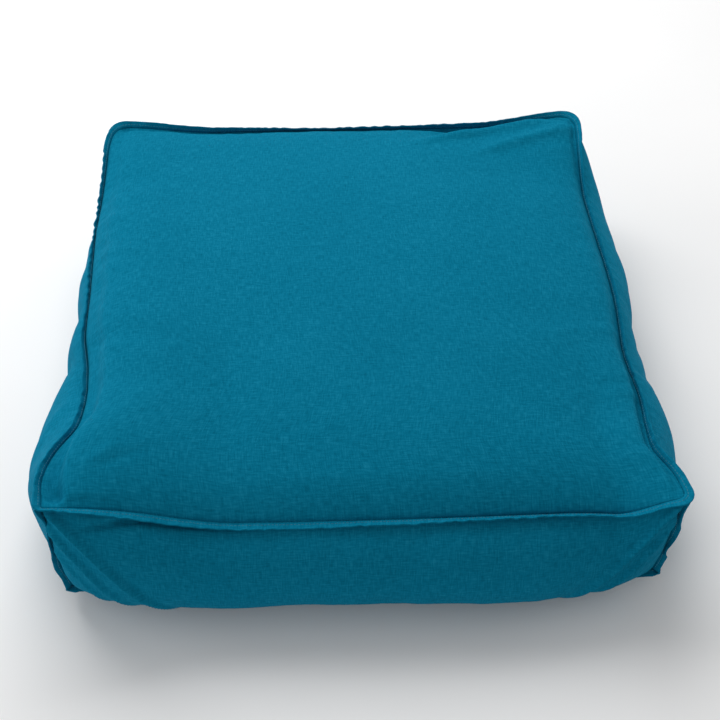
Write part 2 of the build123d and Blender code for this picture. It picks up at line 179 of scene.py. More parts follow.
# folds in the cloth, in metres on the piece: (start, end, half width, height)
TOP_CREASES = (
    ((0.36, 0.536), (0.640, 0.614), 0.009, 0.0085),
    ((0.38, 0.564), (0.640, 0.624), 0.010, -0.0095),
    ((0.44, 0.508), (0.620, 0.586), 0.009, 0.0050),
    ((0.035, 0.030), (0.075, 0.062), 0.006, 0.0012),
)
SIDE_CREASES = {
    0: (
        ((-0.040, 0.195), (0.130, 0.015), 0.0036, 0.0066),
        ((-0.030, 0.172), (0.086, 0.016), 0.0030, 0.0050),
        ((-0.015, 0.120), (0.055, 0.018), 0.0030, 0.0032),
        ((0.020, 0.128), (0.125, 0.156), 0.0028, -0.0052),
        ((0.060, 0.142), (0.240, 0.153), 0.0030, -0.0052),
        ((0.640, 0.200), (0.480, 0.010), 0.0038, 0.0062),
        ((0.630, 0.160), (0.520, 0.020), 0.0032, 0.0048),
        ((0.620, 0.150), (0.555, 0.050), 0.0040, -0.0040),
    ),
    1: (
        ((0.17, 0.148), (0.25, 0.010), 0.010, -0.0030),
        ((0.27, 0.120), (0.31, 0.020), 0.009, -0.0024),
    ),
    3: (
        ((0.28, 0.120), (0.30, 0.010), 0.010, -0.0030),
        ((0.37, 0.130), (0.38, 0.020), 0.009, -0.0024),
        ((0.43, 0.140), (0.52, 0.060), 0.010, 0.0025),
    ),
}


# --- camera ---
LENS = 55.64  # millimetres
CAMERA_PLACE = (-0.0354, -0.9311, 1.0148)
CAMERA_TURN = (46.48, 2.65, 0.49)  # degrees down, to the right and rolled


# --- small helpers ---
UPWARD = np.array([0.0, 0.0, 1.0])


def smooth(t):
    """0 below 0, 1 above 1 and an even S between."""
    t = np.clip(t, 0, 1)
    return t * t * (3 - 2 * t)


def cubic_at(points, at):
    """Points of a smooth curve through the rows of an array, at fractional row numbers."""
    points = np.asarray(points, float)
    last = len(points) - 1
    row = np.clip(np.floor(at).astype(int), 0, last - 1)
    t = (np.clip(at, 0, last) - row).reshape(-1, *[1] * (points.ndim - 1))
    ghosts = np.concatenate([2 * points[:1] - points[1:2], points, 2 * points[-1:] - points[-2:-1]])
    a, b, c, d = (ghosts[row + k] for k in range(4))
    return 0.5 * (2 * b + (c - a) * t + (2 * a - 5 * b + 4 * c - d) * t**2
                  + (3 * b - a - 3 * c + d) * t**3)


def through(knots, at):
    """A smooth curve through a few (place, value) knots, level at both ends."""
    place, value = np.array(knots, float).T
    slope = np.gradient(value, place)
    slope[[0, -1]] = 0
    left = np.clip(np.searchsorted(place, at, side="right") - 1, 0, len(place) - 2)
    step = place[left + 1] - place[left]
    t = np.clip((at - place[left]) / step, 0, 1)
    rise = (value[left + 1] - value[left]) * smooth(t)
    return value[left] + rise + step * t * (1 - t) * (slope[left] * (1 - t) - slope[left + 1] * t)


def wander(at, length, seed):
    """Seeded smooth noise along a line, about -1 to 1, whose waves are about 2 lengths long."""
    at = np.asarray(at, float)
    knots = np.random.default_rng(seed).uniform(-1, 1, int(at.max() / length) + 4)
    return cubic_at(knots, at.ravel() / length).reshape(at.shape)


def lumps(rows, columns, size, seed):
    """Seeded smooth noise over a piece, about -1 to 1, at every pair of the two coordinates."""
    counts = [int(np.max(line) / size) + 4 for line in (rows, columns)]
    knots = np.random.default_rng(seed).uniform(-1, 1, counts)
    return cubic_at(cubic_at(knots, rows / size).T, columns / size).T


def unit(v):
    """Vectors of length 1, along the last axis."""
    return v / np.maximum(np.linalg.norm(v, axis=-1, keepdims=True), 1e-12)


def grid_normals(points):
    """Unit normals of a grid. Its first axis crossed with its second points outwards."""
    return unit(np.cross(np.gradient(points, axis=0), np.gradient(points, axis=1)))


def run_along(path):
    """Length along a path of points, at each of them."""
    return np.concatenate([[0], np.linalg.norm(np.diff(path, axis=0), axis=1).cumsum()])


def turned(side, points):
    """Points or directions given for the front, turned to another side."""
    return points @ np.array(Matrix.Rotation(math.radians(90 * side), 3, "Z")).T


def diagonal(side, sign=-1.0):
    """The level direction out of a side's start corner, or with sign 1 out of its end corner."""
    return turned(side, np.array([sign, -1.0, 0.0]) / math.sqrt(2))


def graded(count):
    """Shares of a side from 0 to 1, closer together near its ends."""
    t = np.linspace(-1, 1, count + 1)
    return 0.5 + 0.5 * (t + 0.6 * np.sin(math.pi * t) / math.pi)


def new_object(name, data):
    """An object in the scene."""
    made = bpy.data.objects.new(name, data)
    bpy.context.scene.collection.objects.link(made)
    return made


# --- the settled shape, coarse ---
def seam_height(side, share, heights, middle):
    """Height of a seam along a side: level, with both ends lifted to their corners."""
    end = (side + 1) % 4
    lift_start = 1 - smooth(share / CORNER_REACH[side][1])
    lift_end = 1 - smooth((1 - share) / CORNER_REACH[end][0])
    return middle + (heights[side] - middle) * lift_start + (heights[end] - middle) * lift_end


def pushed_out(side, share, corners):
    """How far a seam is pushed out, and how far along the side, by the corners at its two ends."""
    start = corners[side] * (1 - smooth(share / CORNER_SPREAD))
    end = corners[(side + 1) % 4] * (1 - smooth((1 - share) / CORNER_SPREAD))
    return start + end, end - start


def side_grid(side, shares, rows):
    """A boxing panel, full between its seams: first axis along the side, second from bottom to top."""
    low_push, low_slide = pushed_out(side, shares, BOTTOM_CORNER_OUT)
    high_push, high_slide = pushed_out(side, shares, TOP_CORNER_OUT)
    low_out = HALF + low_push - BOTTOM_PULLED_IN * np.sin(math.pi * shares) ** 2
    low_z = seam_height(side, shares, CORNER_BOTTOM, BOTTOM_MIDDLE)
    high_out = HALF + high_push - through(PULLED_IN[side], shares)
    high_z = seam_height(side, shares, CORNER_TOP, TOP_MIDDLE[side])
    ends = np.abs(2 * shares - 1)
    squareness, softness = FULL_ENDS[side]
    full = through(FULLNESS[side], shares) * (1 - ends**squareness) ** softness
    handle = np.maximum(HALF + full - (low_out + high_out) / 2, 0) / 0.75
    t = np.linspace(0, 1, 160)[:, None]
    weights = ((1 - t) ** 3, 3 * (1 - t) ** 2 * t, 3 * (1 - t) * t**2, t**3)
    low = LOW_FULLNESS[side]
    outs = (low_out, low_out + (1 + low) * handle, high_out + (1 - low) * handle, high_out)
    heights = (low_z, low_z + LOW_HANDLE, high_z - HIGH_HANDLE, high_z)
    outward = sum(w * p for w, p in zip(weights, outs))
    height = sum(w * p for w, p in zip(weights, heights))
    if side == 2:
        outward = np.minimum(outward, ZIP_FACE)
    run = np.zeros_like(outward)
    run[1:] = np.hypot(np.diff(outward, axis=0), np.diff(height, axis=0)).cumsum(0)
    grid = np.empty((len(shares), rows + 1, 3))
    for i, share in enumerate(shares):
        at = np.linspace(0, run[-1, i], rows + 1)
        slide = np.linspace(low_slide[i], high_slide[i], rows + 1)
        grid[i, :, 0] = (2 * share - 1) * HALF + slide
        grid[i, :, 1] = -np.interp(at, run[:, i], outward[:, i])
        grid[i, :, 2] = np.interp(at, run[:, i], height[:, i])
    return turned(side, grid)


def spanned(shares, edges):
    """A grid stretched over four seams, given side by side as they run round."""
    u, v = shares[:, None, None], shares[None, :, None]
    front, right = edges[0], edges[1]
    rear, left = edges[2][::-1], edges[3][::-1]
    between = (1 - v) * front[:, None] + v * rear[:, None] + (1 - u) * left[None] + u * right[None]
    corners = ((1 - u) * (1 - v) * front[0] + u * (1 - v) * front[-1]
               + (1 - u) * v * rear[0] + u * v * rear[-1])
    return between - corners


def shoulders(shares, start, end):
    """Height of the crown across the cushion, 0 at its edges and 1 at the middle."""
    across = 2 * shares - 1
    squareness, softness = np.where(across[None] < 0, np.array(start)[:, None], np.array(end)[:, None])
    return (1 - np.abs(across) ** squareness) ** softness


def groove(shares):
    """How far the top cloth is drawn down just inside its four seams."""
    depth = np.zeros((len(shares), len(shares)))
    off_ends = smooth(2 * HALF * np.minimum(shares, 1 - shares) / GROOVE_FADE)
    for side, knots in enumerate(GROOVE):
        along = off_ends * through(knots, shares if side < 2 else 1 - shares)
        apart = 2 * HALF * (shares if side in (0, 3) else 1 - shares) / GROOVE_AT[side]
        across = apart**GROOVE_FALL * np.exp(GROOVE_RISE * (1 - apart**GROOVE_LATE))
        depth = np.maximum(depth, np.outer(along, across) if side in (0, 2) else np.outer(across, along))
    return depth


def rounded_corners(points):
    """The same points, drawn in near the four upright corners so that every seam turns on a small radius."""
    points = points.copy()
    for corner, (x_sign, y_sign) in enumerate(((-1, -1), (1, -1), (1, 1), (-1, 1))):
        radius = CORNER_RADIUS[corner]
        limit = HALF + TOP_CORNER_OUT[corner]
        near_x = np.clip(1 - (limit - x_sign * points[..., 0]) / radius, 0, 1)
        near_y = np.clip(1 - (limit - y_sign * points[..., 1]) / radius, 0, 1)
        points[..., 0] -= x_sign * radius * near_x * (1 - np.sqrt(1 - near_y**2 / 2))
        points[..., 1] -= y_sign * radius * near_y * (1 - np.sqrt(1 - near_x**2 / 2))
    return points


def settled_shape(grooved=True):
    """The six sides of the filled cover as coarse grids."""
    shares = graded(COARSE_ALONG)
    across = np.abs(2 * shares - 1)
    shape = {side: side_grid(side, shares, COARSE_UP) for side in range(4)}
    top = spanned(shares, [shape[side][:, -1] for side in range(4)])
    middle = COARSE_ALONG // 2
    crown = np.outer(shoulders(shares, *SHOULDERS[:2]), shoulders(shares, *SHOULDERS[2:]))
    top[..., 2] += (CROWN_TOP - top[middle, middle, 2]) * crown
    if grooved:
        top[..., 2] -= groove(shares)
    bottom = spanned(shares, [shape[side][:, 0] for side in range(4)])
    foot = smooth((1 - across) / 0.15)
    bottom[..., 2] *= (1 - np.outer(foot, foot)) ** 1.5
    shape["top"], shape["bottom"] = top, bottom[:, ::-1]
    return {name: rounded_corners(grid) for name, grid in shape.items()}


def welded(shape):
    """One closed mesh of the six grids: its points, its quads and each grid's point numbers."""
    names = list(shape)
    stacked = np.concatenate([shape[name].reshape(-1, 3) for name in names])
    _, first, number = np.unique(np.round(stacked, 6), axis=0, return_index=True, return_inverse=True)
    number = number.ravel()
    ids, quads, start = {}, [], 0
    for name in names:
        rows, columns = shape[name].shape[:2]
        grid = number[start:start + rows * columns].reshape(rows, columns)
        ids[name] = grid
        quads.append(grid_quads(grid))
        start += rows * columns
    return stacked[first], np.concatenate(quads), ids


# --- settling by cloth simulation ---
def flat_cut(shape):
    """The same grids as they were cut: six flat rectangles, sewn into a box."""
    shares = graded(COARSE_ALONG)
    along = (2 * shares - 1) * (HALF + SEAM_EASE)
    heights = np.linspace(0, BOXING, COARSE_UP + 1)
    cut = {}
    for side in range(4):
        grid = np.empty((COARSE_ALONG + 1, COARSE_UP + 1, 3))
        grid[..., 0] = along[:, None]
        grid[..., 1] = -HALF - SEAM_EASE
        grid[..., 2] = heights
        cut[side] = turned(side, grid)
    flat = np.zeros_like(shape["top"])
    flat[..., 0], flat[..., 1] = along[:, None], along
    cut["top"] = flat + (0, 0, BOXING)
    cut["bottom"] = flat[:, ::-1]
    return cut


def settled(shape):
    """Lets Blender's cloth pull the inflated cover from its cut size, held loosely to the settled shape."""
    points, quads, ids = welded(shape)
    rest = np.empty_like(points)
    for name, grid in flat_cut(shape).items():
        rest[ids[name]] = grid
    mesh = bpy.data.meshes.new("settling")
    mesh.from_pydata(points.tolist(), [], quads.tolist())
    cover = new_object("settling", mesh)
    cover.shape_key_add(name="settled")
    cut = cover.shape_key_add(name="cut")
    cut.data.foreach_set("co", rest.astype(np.float32).ravel())
    held = cover.vertex_groups.new(name="held")
    on_zip = (points[:, 1] > ZIP_FACE - 1e-4) & (np.abs(points[:, 0]) < ZIP_HALF + BAND_END)
    off_middle = np.abs(points[:, :2]).max(1)
    on_floor = (points[:, 2] < 0.001) & (off_middle < 0.8 * HALF)
    on_seam = (points[:, 2] > TOP_SEAM - SEAM_BAND) & (off_middle > HALF - SEAM_BAND)
    held.add(list(range(len(points))), HOLD, "REPLACE")
    for group, weight in ((on_seam, SEAM_HOLD), (on_floor, FLOOR_HOLD), (on_zip, ZIP_HOLD)):
        held.add(np.flatnonzero(group).tolist(), weight, "REPLACE")
    cloth = cover.modifiers.new("cloth", "CLOTH")
    settings = cloth.settings
    settings.quality = 8
    settings.mass = 0.3
    settings.tension_stiffness = settings.compression_stiffness = 60
    settings.shear_stiffness = 8
    settings.bending_stiffness = 0.6
    settings.tension_damping = settings.compression_damping = settings.shear_damping = 8
    settings.air_damping = 2
    settings.use_pressure = True
    settings.uniform_pressure_force = PRESSURE
    settings.effector_weights.gravity = 0
    settings.vertex_group_mass = "held"
    settings.pin_stiffness = 1
    settings.rest_shape_key = cut
    cloth.point_cache.frame_start = 1
    cloth.point_cache.frame_end = SETTLE_FRAMES
    for number in range(1, SETTLE_FRAMES + 1):
        bpy.context.scene.frame_set(number)
    evaluated = cover.evaluated_get(bpy.context.evaluated_depsgraph_get())
    moved = np.empty(len(points) * 3, np.float32)
    evaluated.data.vertices.foreach_get("co", moved)
    shift = moved.reshape(-1, 3).astype(float) - points
    bpy.context.scene.frame_set(1)
    bpy.data.objects.remove(cover)
    length = np.linalg.norm(shift, axis=1, keepdims=True)
    shift *= np.minimum(1, LARGEST_SHIFT / np.maximum(length, 1e-9))
    shift[on_zip] = 0
    points = points + shift
    points[:, 2] = np.maximum(points[:, 2], 0)
    return {name: points[grid] for name, grid in ids.items()}


# --- fine grids ---
def side_shares(side):
    """Fine shares of a side. The rear has a line at each end of the zip opening."""
    if side != 2:
        return np.linspace(0, 1, ALONG + 1)
    end = 0.5 - ZIP_HALF / HALF / 2
    knots = (0, END_COLUMNS, ALONG - END_COLUMNS, ALONG)
    return np.interp(np.arange(ALONG + 1), knots, (0, end, 1 - end, 1))


def rows_of(shares, coarse):
    """Fractional coarse row numbers of shares of a side."""
    return np.interp(shares, graded(coarse), np.arange(coarse + 1))


def fine_top(grid):
    at = rows_of(np.linspace(0, 1, ALONG + 1), COARSE_ALONG)
    return cubic_at(cubic_at(grid, at).swapaxes(0, 1), at).swapaxes(0, 1)


def fine_side(grid, side):
    columns = cubic_at(grid, rows_of(side_shares(side), COARSE_ALONG))
    up = np.linspace(0, COARSE_UP, UP + 1)
    return cubic_at(columns.swapaxes(0, 1), up).swapaxes(0, 1)


def crease(u, v, start, end, width, height):
    """A soft fold along a line on the cloth, highest in its middle; a negative height is a groove."""
    start, end = np.array(start), np.array(end)
    line = end - start
    length = np.hypot(*line)
    along = ((u - start[0]) * line[0] + (v - start[1]) * line[1]) / length**2
    apart = ((u - start[0]) * line[1] - (v - start[1]) * line[0]) / length
    return height * np.exp(-((apart / width) ** 2)) * smooth(along / 0.35) * smooth((1 - along) / 0.35)


def wrinkled(grid, u, v, seed, roping, creases, relief=TOP_RELIEF):
    """A fine grid with the small relief of filled cloth: soft lumps, puckers along its seams and folds.
    roping holds the strength of the puckers at the start and end of u and of v."""
    uu, vv = np.meshgrid(u, v, indexing="ij")
    height = relief * (lumps(u, v, LARGE_LUMP, seed) + 0.45 * lumps(u, v, SMALL_LUMP, seed + 1))
    edges = ((uu - u[0], vv), (u[-1] - uu, vv), (vv - v[0], uu), (v[-1] - vv, uu))
    inside = np.min([distance for distance, _ in edges], axis=0)
    for number, ((distance, place), strength) in enumerate(zip(edges, roping)):
        place = place - place.min()
        for length, reach, high in PUCKERS:
            near = distance / reach * np.exp(1 - distance / reach)
            waves = wander(place + 0.25 * distance, length, seed + 10 * number + int(length * 1e4))
            height += strength * high * near * waves
    for fold in creases:
        height += crease(uu, vv, *fold)
    height *= smooth(inside / 0.006)
    return grid + grid_normals(grid) * height[..., None]


# --- meshes of cloth ---
def grid_quads(numbers):
    """The faces of a grid of point numbers."""
    corners = (numbers[:-1, :-1], numbers[1:, :-1], numbers[1:, 1:], numbers[:-1, 1:])
    return np.stack(corners, -1).reshape(-1, 4)


def shell(grid, u, v, thick=CLOTH):
    """A closed layer of cloth under a grid, whose hidden face has every second line of the grid."""
    rows, columns = grid.shape[:2]
    under = (grid - grid_normals(grid) * thick)[::2, ::2]
    outer = np.arange(rows * columns).reshape(rows, columns)
    inner = rows * columns + np.arange(under.shape[0] * under.shape[1]).reshape(under.shape[:2])
    faces = grid_quads(outer).tolist() + grid_quads(inner)[:, ::-1].tolist()
    rings = [np.concatenate([a[:-1, 0], a[-1, :-1], a[:0:-1, -1], a[0, :0:-1]]) for a in (outer, inner)]
    ring, near = rings[0], np.arange(len(rings[1]))
    after = np.roll(rings[1], -1)
    first, middle, last = ring[2 * near], ring[2 * near + 1], np.roll(ring, -2)[2 * near]
    for rim in ((middle, first, rings[1]), (middle, rings[1], after), (last, middle, after)):
        faces += np.stack(rim, -1).tolist()
    places = np.stack(np.meshgrid(u, v, indexing="ij"), -1)
    points = np.concatenate([grid.reshape(-1, 3), under.reshape(-1, 3)])
    return points, faces, np.concatenate([places.reshape(-1, 2), places[::2, ::2].reshape(-1, 2)])


def tube_faces(rings, steps, closed):
    """Faces of a tube of rings with the same number of points, joined up or capped at its ends."""
    ids = np.arange(rings * steps).reshape(rings, steps)
    after = np.roll(ids, -1, axis=0) if closed else ids[1:]
    before = ids if closed else ids[:-1]
    quads = np.stack([before, after, np.roll(after, -1, 1), np.roll(before, -1, 1)], -1)
    quads = quads.reshape(-1, 4).tolist()
    return quads if closed else quads + [ids[0].tolist(), ids[-1, ::-1].tolist()]


def ribbon(base, out, lift, width, closed=False, thick=CLOTH):
    """A turned-out layer of cloth along a seam: out is its direction and lift points to its outer face."""
    share = np.array([0, 0.3, 0.62, 0.9, 0.985, 1, 0.97, 0.6, 0.3, 0])
    height = np.array([1, 1, 1, 1, 0.86, 0.5, 0.1, 0.04, 0.04, 0.04]) * thick
    reach = SEAM_CORE + share[None, :, None] * (width[:, None, None] - SEAM_CORE)
    points = base[:, None] + out[:, None] * reach + lift[:, None] * height[None, :, None]
    along = run_along(base + out * width[:, None])
    places = np.stack(np.broadcast_arrays(along[:, None], share * FLANGE), -1)
    return points.reshape(-1, 3), tube_faces(len(base), len(share), closed), places.reshape(-1, 2)


def tube(path, side, up, wide, high, steps=6, closed=False):
    """A tube along a path: its half width and half height may change from point to point."""
    angle = 2 * math.pi * np.arange(steps) / steps
    wide, high = np.broadcast_to(wide, len(path)), np.broadcast_to(high, len(path))
    points = (path[:, None] + side[:, None] * (wide[:, None] * np.cos(angle))[..., None]
              + up[:, None] * (high[:, None] * np.sin(angle))[..., None])
    places = np.stack(np.broadcast_arrays(run_along(path)[:, None], wide[:, None] * angle), -1)
    return points.reshape(-1, 3), tube_faces(len(path), steps, closed), places.reshape(-1, 2)


def at_places(values, run, at):
    """Points or directions given along a run, at other places on it."""
    return np.stack([np.interp(at, run, values[:, k]) for k in range(3)], -1)


def stitches(path, up, pitch=0.0036, gap=0.0008, radius=0.00028):
    """A run of stitches along a path of points, each sinking into the cloth at both ends."""
    run = run_along(path)
    count = max(1, round(run[-1] / pitch))
    share = np.array([0, 0.12, 0.5, 0.88, 1])
    swell = np.array([0.35, 0.85, 1, 0.85, 0.35])
    rise = np.array([-0.9, -0.1, 0.35, -0.1, -0.9]) * radius
    parts = []
    for number in range(count):
        at = run[-1] * (number + 0.5) / count + (share - 0.5) * (pitch - gap)
        points = at_places(path, run, at)
        above = unit(at_places(up, run, at))
        side = unit(np.cross(np.gradient(points, axis=0), above))
        parts.append(tube(points + above * rise[:, None], side, above, radius * swell, radius * swell))
    return parts


def joined(parts):
    """One set of points, faces and places from several."""
    points, faces, places, start = [], [], [], 0
    for part_points, part_faces, part_places in parts:
        points.append(part_points)
        faces += [[corner + start for corner in face] for face in part_faces]
        places.append(part_places)
        start += len(part_points)
    return np.concatenate(points), faces, np.concatenate(places)


def piece(name, parts, material, slot, body, *nodes):
    """A finished piece from closed parts, riding on a body in place of CAD nodes."""
    points, faces, places = joined(parts)
    mesh = bpy.data.meshes.new(name + "_visual")
    mesh.from_pydata(points.tolist(), [], faces)
    build = bmesh.new()
    build.from_mesh(mesh)
    bmesh.ops.recalc_face_normals(build, faces=build.faces)
    build.to_mesh(mesh)
    build.free()
    corner_points = np.empty(len(mesh.loops), int)
    mesh.loops.foreach_get("vertex_index", corner_points)
    layer = mesh.uv_layers.new(name="cloth")
    layer.data.foreach_set("uv", places[corner_points].astype(np.float32).ravel())
    mesh.polygons.foreach_set("use_smooth", np.ones(len(mesh.polygons), bool))
    mesh.materials.append(material)
    made = new_object(name + "_visual", mesh)
    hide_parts(*nodes)
    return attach(made, body)


# --- seams ---
def seam_side(grid, side, top):
    """The flange along a side's top or bottom seam: points, directions out, directions up and widths."""
    base = grid[:, -1 if top else 0]
    along = side_shares(side) * 2 * HALF
    back = along[-1] - along
    seed = 40 + 7 * side + 3 * top
    rope = ROPING[side] * (1 if top else 0.6)
    ends = smooth(np.minimum(along, back) / 0.02)
    waves = 6 * wander(along, 0.05, seed) + 12 * rope * wander(along, 0.0046, seed + 1)
    tilt = np.full(len(along), float(BOTTOM_TILT))
    if top:
        knots = ((0, CORNER_TILT[side]), *TOP_TILT[side], (1, CORNER_TILT[(side + 1) % 4]))
        tilt = through(knots, side_shares(side))
    tilt = np.radians(tilt + waves * ends)[:, None]
    ragged = 0.0003 * rope * wander(along, 0.005, seed + 2) + 0.0003 * wander(along, 0.03, seed + 3)
    width = FLANGE * (1.12 - 0.12 * ends) + ragged * ends
    tangent = unit(np.gradient(base, axis=0))
    level = turned(side, np.array([0.0, -1.0, 0.0]))
    level = level - (tangent @ level)[:, None] * tangent
    level = unit(level * (1, 1, 0))
    level[0], level[-1] = diagonal(side), diagonal(side, 1.0)
    out = unit(np.cos(tilt) * level + np.sin(tilt) * UPWARD)
    around = unit(np.cross(UPWARD, level))
    return base, out, unit(np.cross(out, around)), width


def corner_seam(grid, side):
    """The upright seam at the start corner of a side: points, directions out, across and widths.
    Directions across point to the side that starts here."""
    base = grid[0]
    share = np.linspace(0, 1, len(base))
    level_out = diagonal(side)
    tilt = CORNER_TILT[side] * smooth((share - 0.9) / 0.1) + BOTTOM_TILT * smooth((0.1 - share) / 0.1)
    tilt = np.radians(tilt)[:, None]
    up = share * BOXING
    lean = 0.16 * wander(up, 0.02, 90 + side) + 0.1 * ROPING[side] * wander(up, 0.005, 94 + side)
    lean *= smooth(share / 0.15) * smooth((1 - share) / 0.15)
    lean += through(UPRIGHT_LEAN[side], share)
    across = diagonal(side, 1.0)
    out = unit(np.cos(tilt) * level_out + np.sin(tilt) * UPWARD + lean[:, None] * across)
    tangent = unit(np.gradient(base, axis=0))
    out = unit(out - 0.5 * (out * tangent).sum(1, keepdims=True) * tangent)
    lift = unit(np.cross(tangent, out))
    lift *= np.sign(lift @ across)[:, None]
    width = FLANGE + 0.0004 * wander(up, 0.012, 98 + side)
    return base, out, lift, width


def layer_of(seam, sign=1, span=slice(None)):
    """A ribbon layer along a seam or a span of it, on its upper face or with sign -1 on its lower face."""
    base, out, lift, width = (values[span] for values in seam)
    return ribbon(base, out, sign * lift, width)


def ring_of(sides):
    """The whole seam of four sides as one run, without the doubled entries at the corners."""
    return [np.concatenate([values[:-1] for values in run]) for run in zip(*sides)]


def seam_stitches(run):
    """Both faces of a line of stitches through a seam's flange."""
    base, out, lift, _ = run
    path = base + out * STITCH_IN
    return stitches(path + lift * CLOTH, lift) + stitches(path - lift * CLOTH, -lift)


# --- the cover ---
def make_panels(shape, cloth):
    """Top, bottom and the three plain sides, each with its own layer of the flanges round it."""
    cut = np.linspace(0, 2 * HALF, ALONG + 1)
    up = np.linspace(0, BOXING, UP + 1)
    sides = {side: fine_side(shape[side], side) for side in range(4)}
    seams = {top: [seam_side(sides[side], side, top) for side in range(4)] for top in (True, False)}
    uprights = [corner_seam(sides[side], side) for side in range(4)]
    for name, grid, top, roping in (
        ("top_panel", fine_top(shape["top"]), True, (ROPING[3], ROPING[1], ROPING[0], ROPING[2])),
        ("bottom_panel", fine_top(shape["bottom"]), False, (0.5, 0.5, 0.5, 0.5)),
    ):
        creases, relief = (TOP_CREASES, TOP_RELIEF) if top else ((), BOTTOM_RELIEF)
        grid = wrinkled(grid, cut, cut, 3 + top, roping, creases, relief)
        if not top:
            grid[..., 2] = np.maximum(grid[..., 2], 0)
        run = ring_of(seams[top])
        layer = ribbon(run[0], run[1], run[2] * (1 if top else -1), run[3], closed=True)
        made = piece(name, [shell(grid, cut, cut), layer], cloth, "cover_cloth", "cover", name)
    for side, name in ((0, "front_side_panel"), (1, "right_side_panel"), (3, "left_side_panel")):
        strength = ROPING[side]
        grid = wrinkled(sides[side], cut, up, 20 + side, (0.8, 0.8, 0.5, strength), SIDE_CREASES[side])
        layers = [layer_of(seams[True][side], -1), layer_of(seams[False][side])]
        layers += [layer_of(uprights[side]), layer_of(uprights[(side + 1) % 4], -1)]
        made = piece(name, [shell(grid, cut + 0.7, up), *layers], cloth, "cover_cloth", "cover", name)
    return sides[2], seams, uprights


def make_rear(rear, seams, uprights, cloth):
    """The rear side: a strip over and under the zip with its folded edge, and a plain piece at each end."""
    along = side_shares(2) * 2 * HALF
    up = np.linspace(0, BOXING, UP + 1)
    rear = wrinkled(rear, along, up, 31, (0.8, 0.8, 0.5, 1.0), ())
    past_end = np.abs(rear[..., 0]) - ZIP_HALF - BAND_END
    off_band = np.maximum(np.abs(rear[..., 2] - ZIP_Z) - FLAT_BAND, past_end)
    flatness = 1 - smooth(off_band / BAND_FADE)
    rear[..., 1] = np.minimum(rear[..., 1], ZIP_FACE)
    rear[..., 1] += flatness * (ZIP_FACE - rear[..., 1])
    first, last = END_COLUMNS, ALONG - END_COLUMNS
    ends = (("right", slice(0, first + 1), uprights[2], 1), ("left", slice(last, ALONG + 1), uprights[3], -1))
    for name, columns, upright, sign in ends:
        layers = [layer_of(seams[True][2], -1, columns), layer_of(seams[False][2], 1, columns)]
        layers.append(layer_of(upright, sign))
        name = "rear_end_piece_" + name
        body = shell(rear[columns], along[columns], up)
        made = piece(name, [body, *layers], cloth, "cover_cloth", "cover", name)
    span = slice(first, last + 1)
    for name, sign, top in (("upper", 1, True), ("lower", -1, False)):
        edge = ZIP_Z + sign * SLOT_HALF
        grid = strip_grid(rear[span], edge, top)
        strip_up = np.linspace(0, STRIP_UP, STRIP_ROWS + 1)
        fold = folded_edge(rear[span, 0, 0], edge, sign)
        flange = layer_of(seams[top][2], -sign, span)
        name = "rear_strip_" + name
        parts = [shell(grid, along[span], strip_up), fold, flange]
        made = piece(name, parts, cloth, "cover_cloth", "cover", name)


def strip_grid(rear, edge, top):
    """The rear between its slot edge and a seam, with its lines spread evenly, still bottom to top."""
    rows = np.arange(rear.shape[1])
    grid = np.empty((len(rear), STRIP_ROWS + 1, 3))
    for number, column in enumerate(rear):
        cut_at = np.interp(edge, column[:, 2], rows)
        span = (cut_at, rows[-1]) if top else (rows[0], cut_at)
        grid[number] = cubic_at(column, np.linspace(*span, STRIP_ROWS + 1))
        grid[number, 0 if top else -1] = (column[0, 0], ZIP_FACE, edge)
    return grid


def folded_edge(across, edge, sign):
    """The hem of a strip, folded under along the slot: one layer behind the strip, with a round nose."""
    count = len(across)
    base = np.stack([across, np.full(count, ZIP_FACE - CLOTH), np.full(count, edge)], -1)
    out = np.repeat([[0.0, 0.0, float(sign)]], count, 0)
    lift = np.repeat([[0.0, -1.0, 0.0]], count, 0)
    return ribbon(base, out, lift, np.full(count, HEM), thick=0.95 * CLOTH)


def make_threads(seams, uprights, thread):
    """Every seam's lines of stitches, the zip's two lines and the bar tacks at its ends."""
    for name, top in (("top_seam_thread", True), ("bottom_seam_thread", False)):
        piece(name, seam_stitches(ring_of(seams[top])), thread, "thread", "cover", name)
    for corner, place in enumerate(("front_left", "front_right", "rear_right", "rear_left")):
        name = "corner_seam_thread_" + place
        run = [values[3:-3] for values in uprights[corner]]
        piece(name, seam_stitches(run), thread, "thread", "cover", name)
    rearward = np.array([[0.0, 1.0, 0.0]] * 2)
    for where in ("upper", "lower"):
        name = "zip_thread_" + where
        low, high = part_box(name)
        height = (low.z + high.z) / 2
        parts = []
        for y, up in ((ZIP_FACE, rearward), (low.y + 0.0003, -rearward)):
            path = np.array([[low.x + 0.001, y, height], [high.x - 0.001, y, height]])
            parts += stitches(path, up, pitch=0.0030)
        piece(name, parts, thread, "thread", "cover", name)
    for where in ("left", "right"):
        name = "zip_bar_tack_" + where
        low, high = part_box(name)
        parts = []
        for number in range(TACK_TURNS):
            z = low.z + (high.z - low.z) * (number + 0.5) / TACK_TURNS
            if abs(z - ZIP_Z) < SLOT_HALF + 0.0004:
                continue
            ends = (low.x - 0.0004, high.x + 0.0004)
            path = np.array([[x, ZIP_FACE, z + 0.0002 * k] for k, x in zip((-1, 1), ends)])
            parts += stitches(path, rearward, pitch=0.0026, gap=0.0002, radius=0.0003)
        piece(name, parts, thread, "thread", "cover", name)


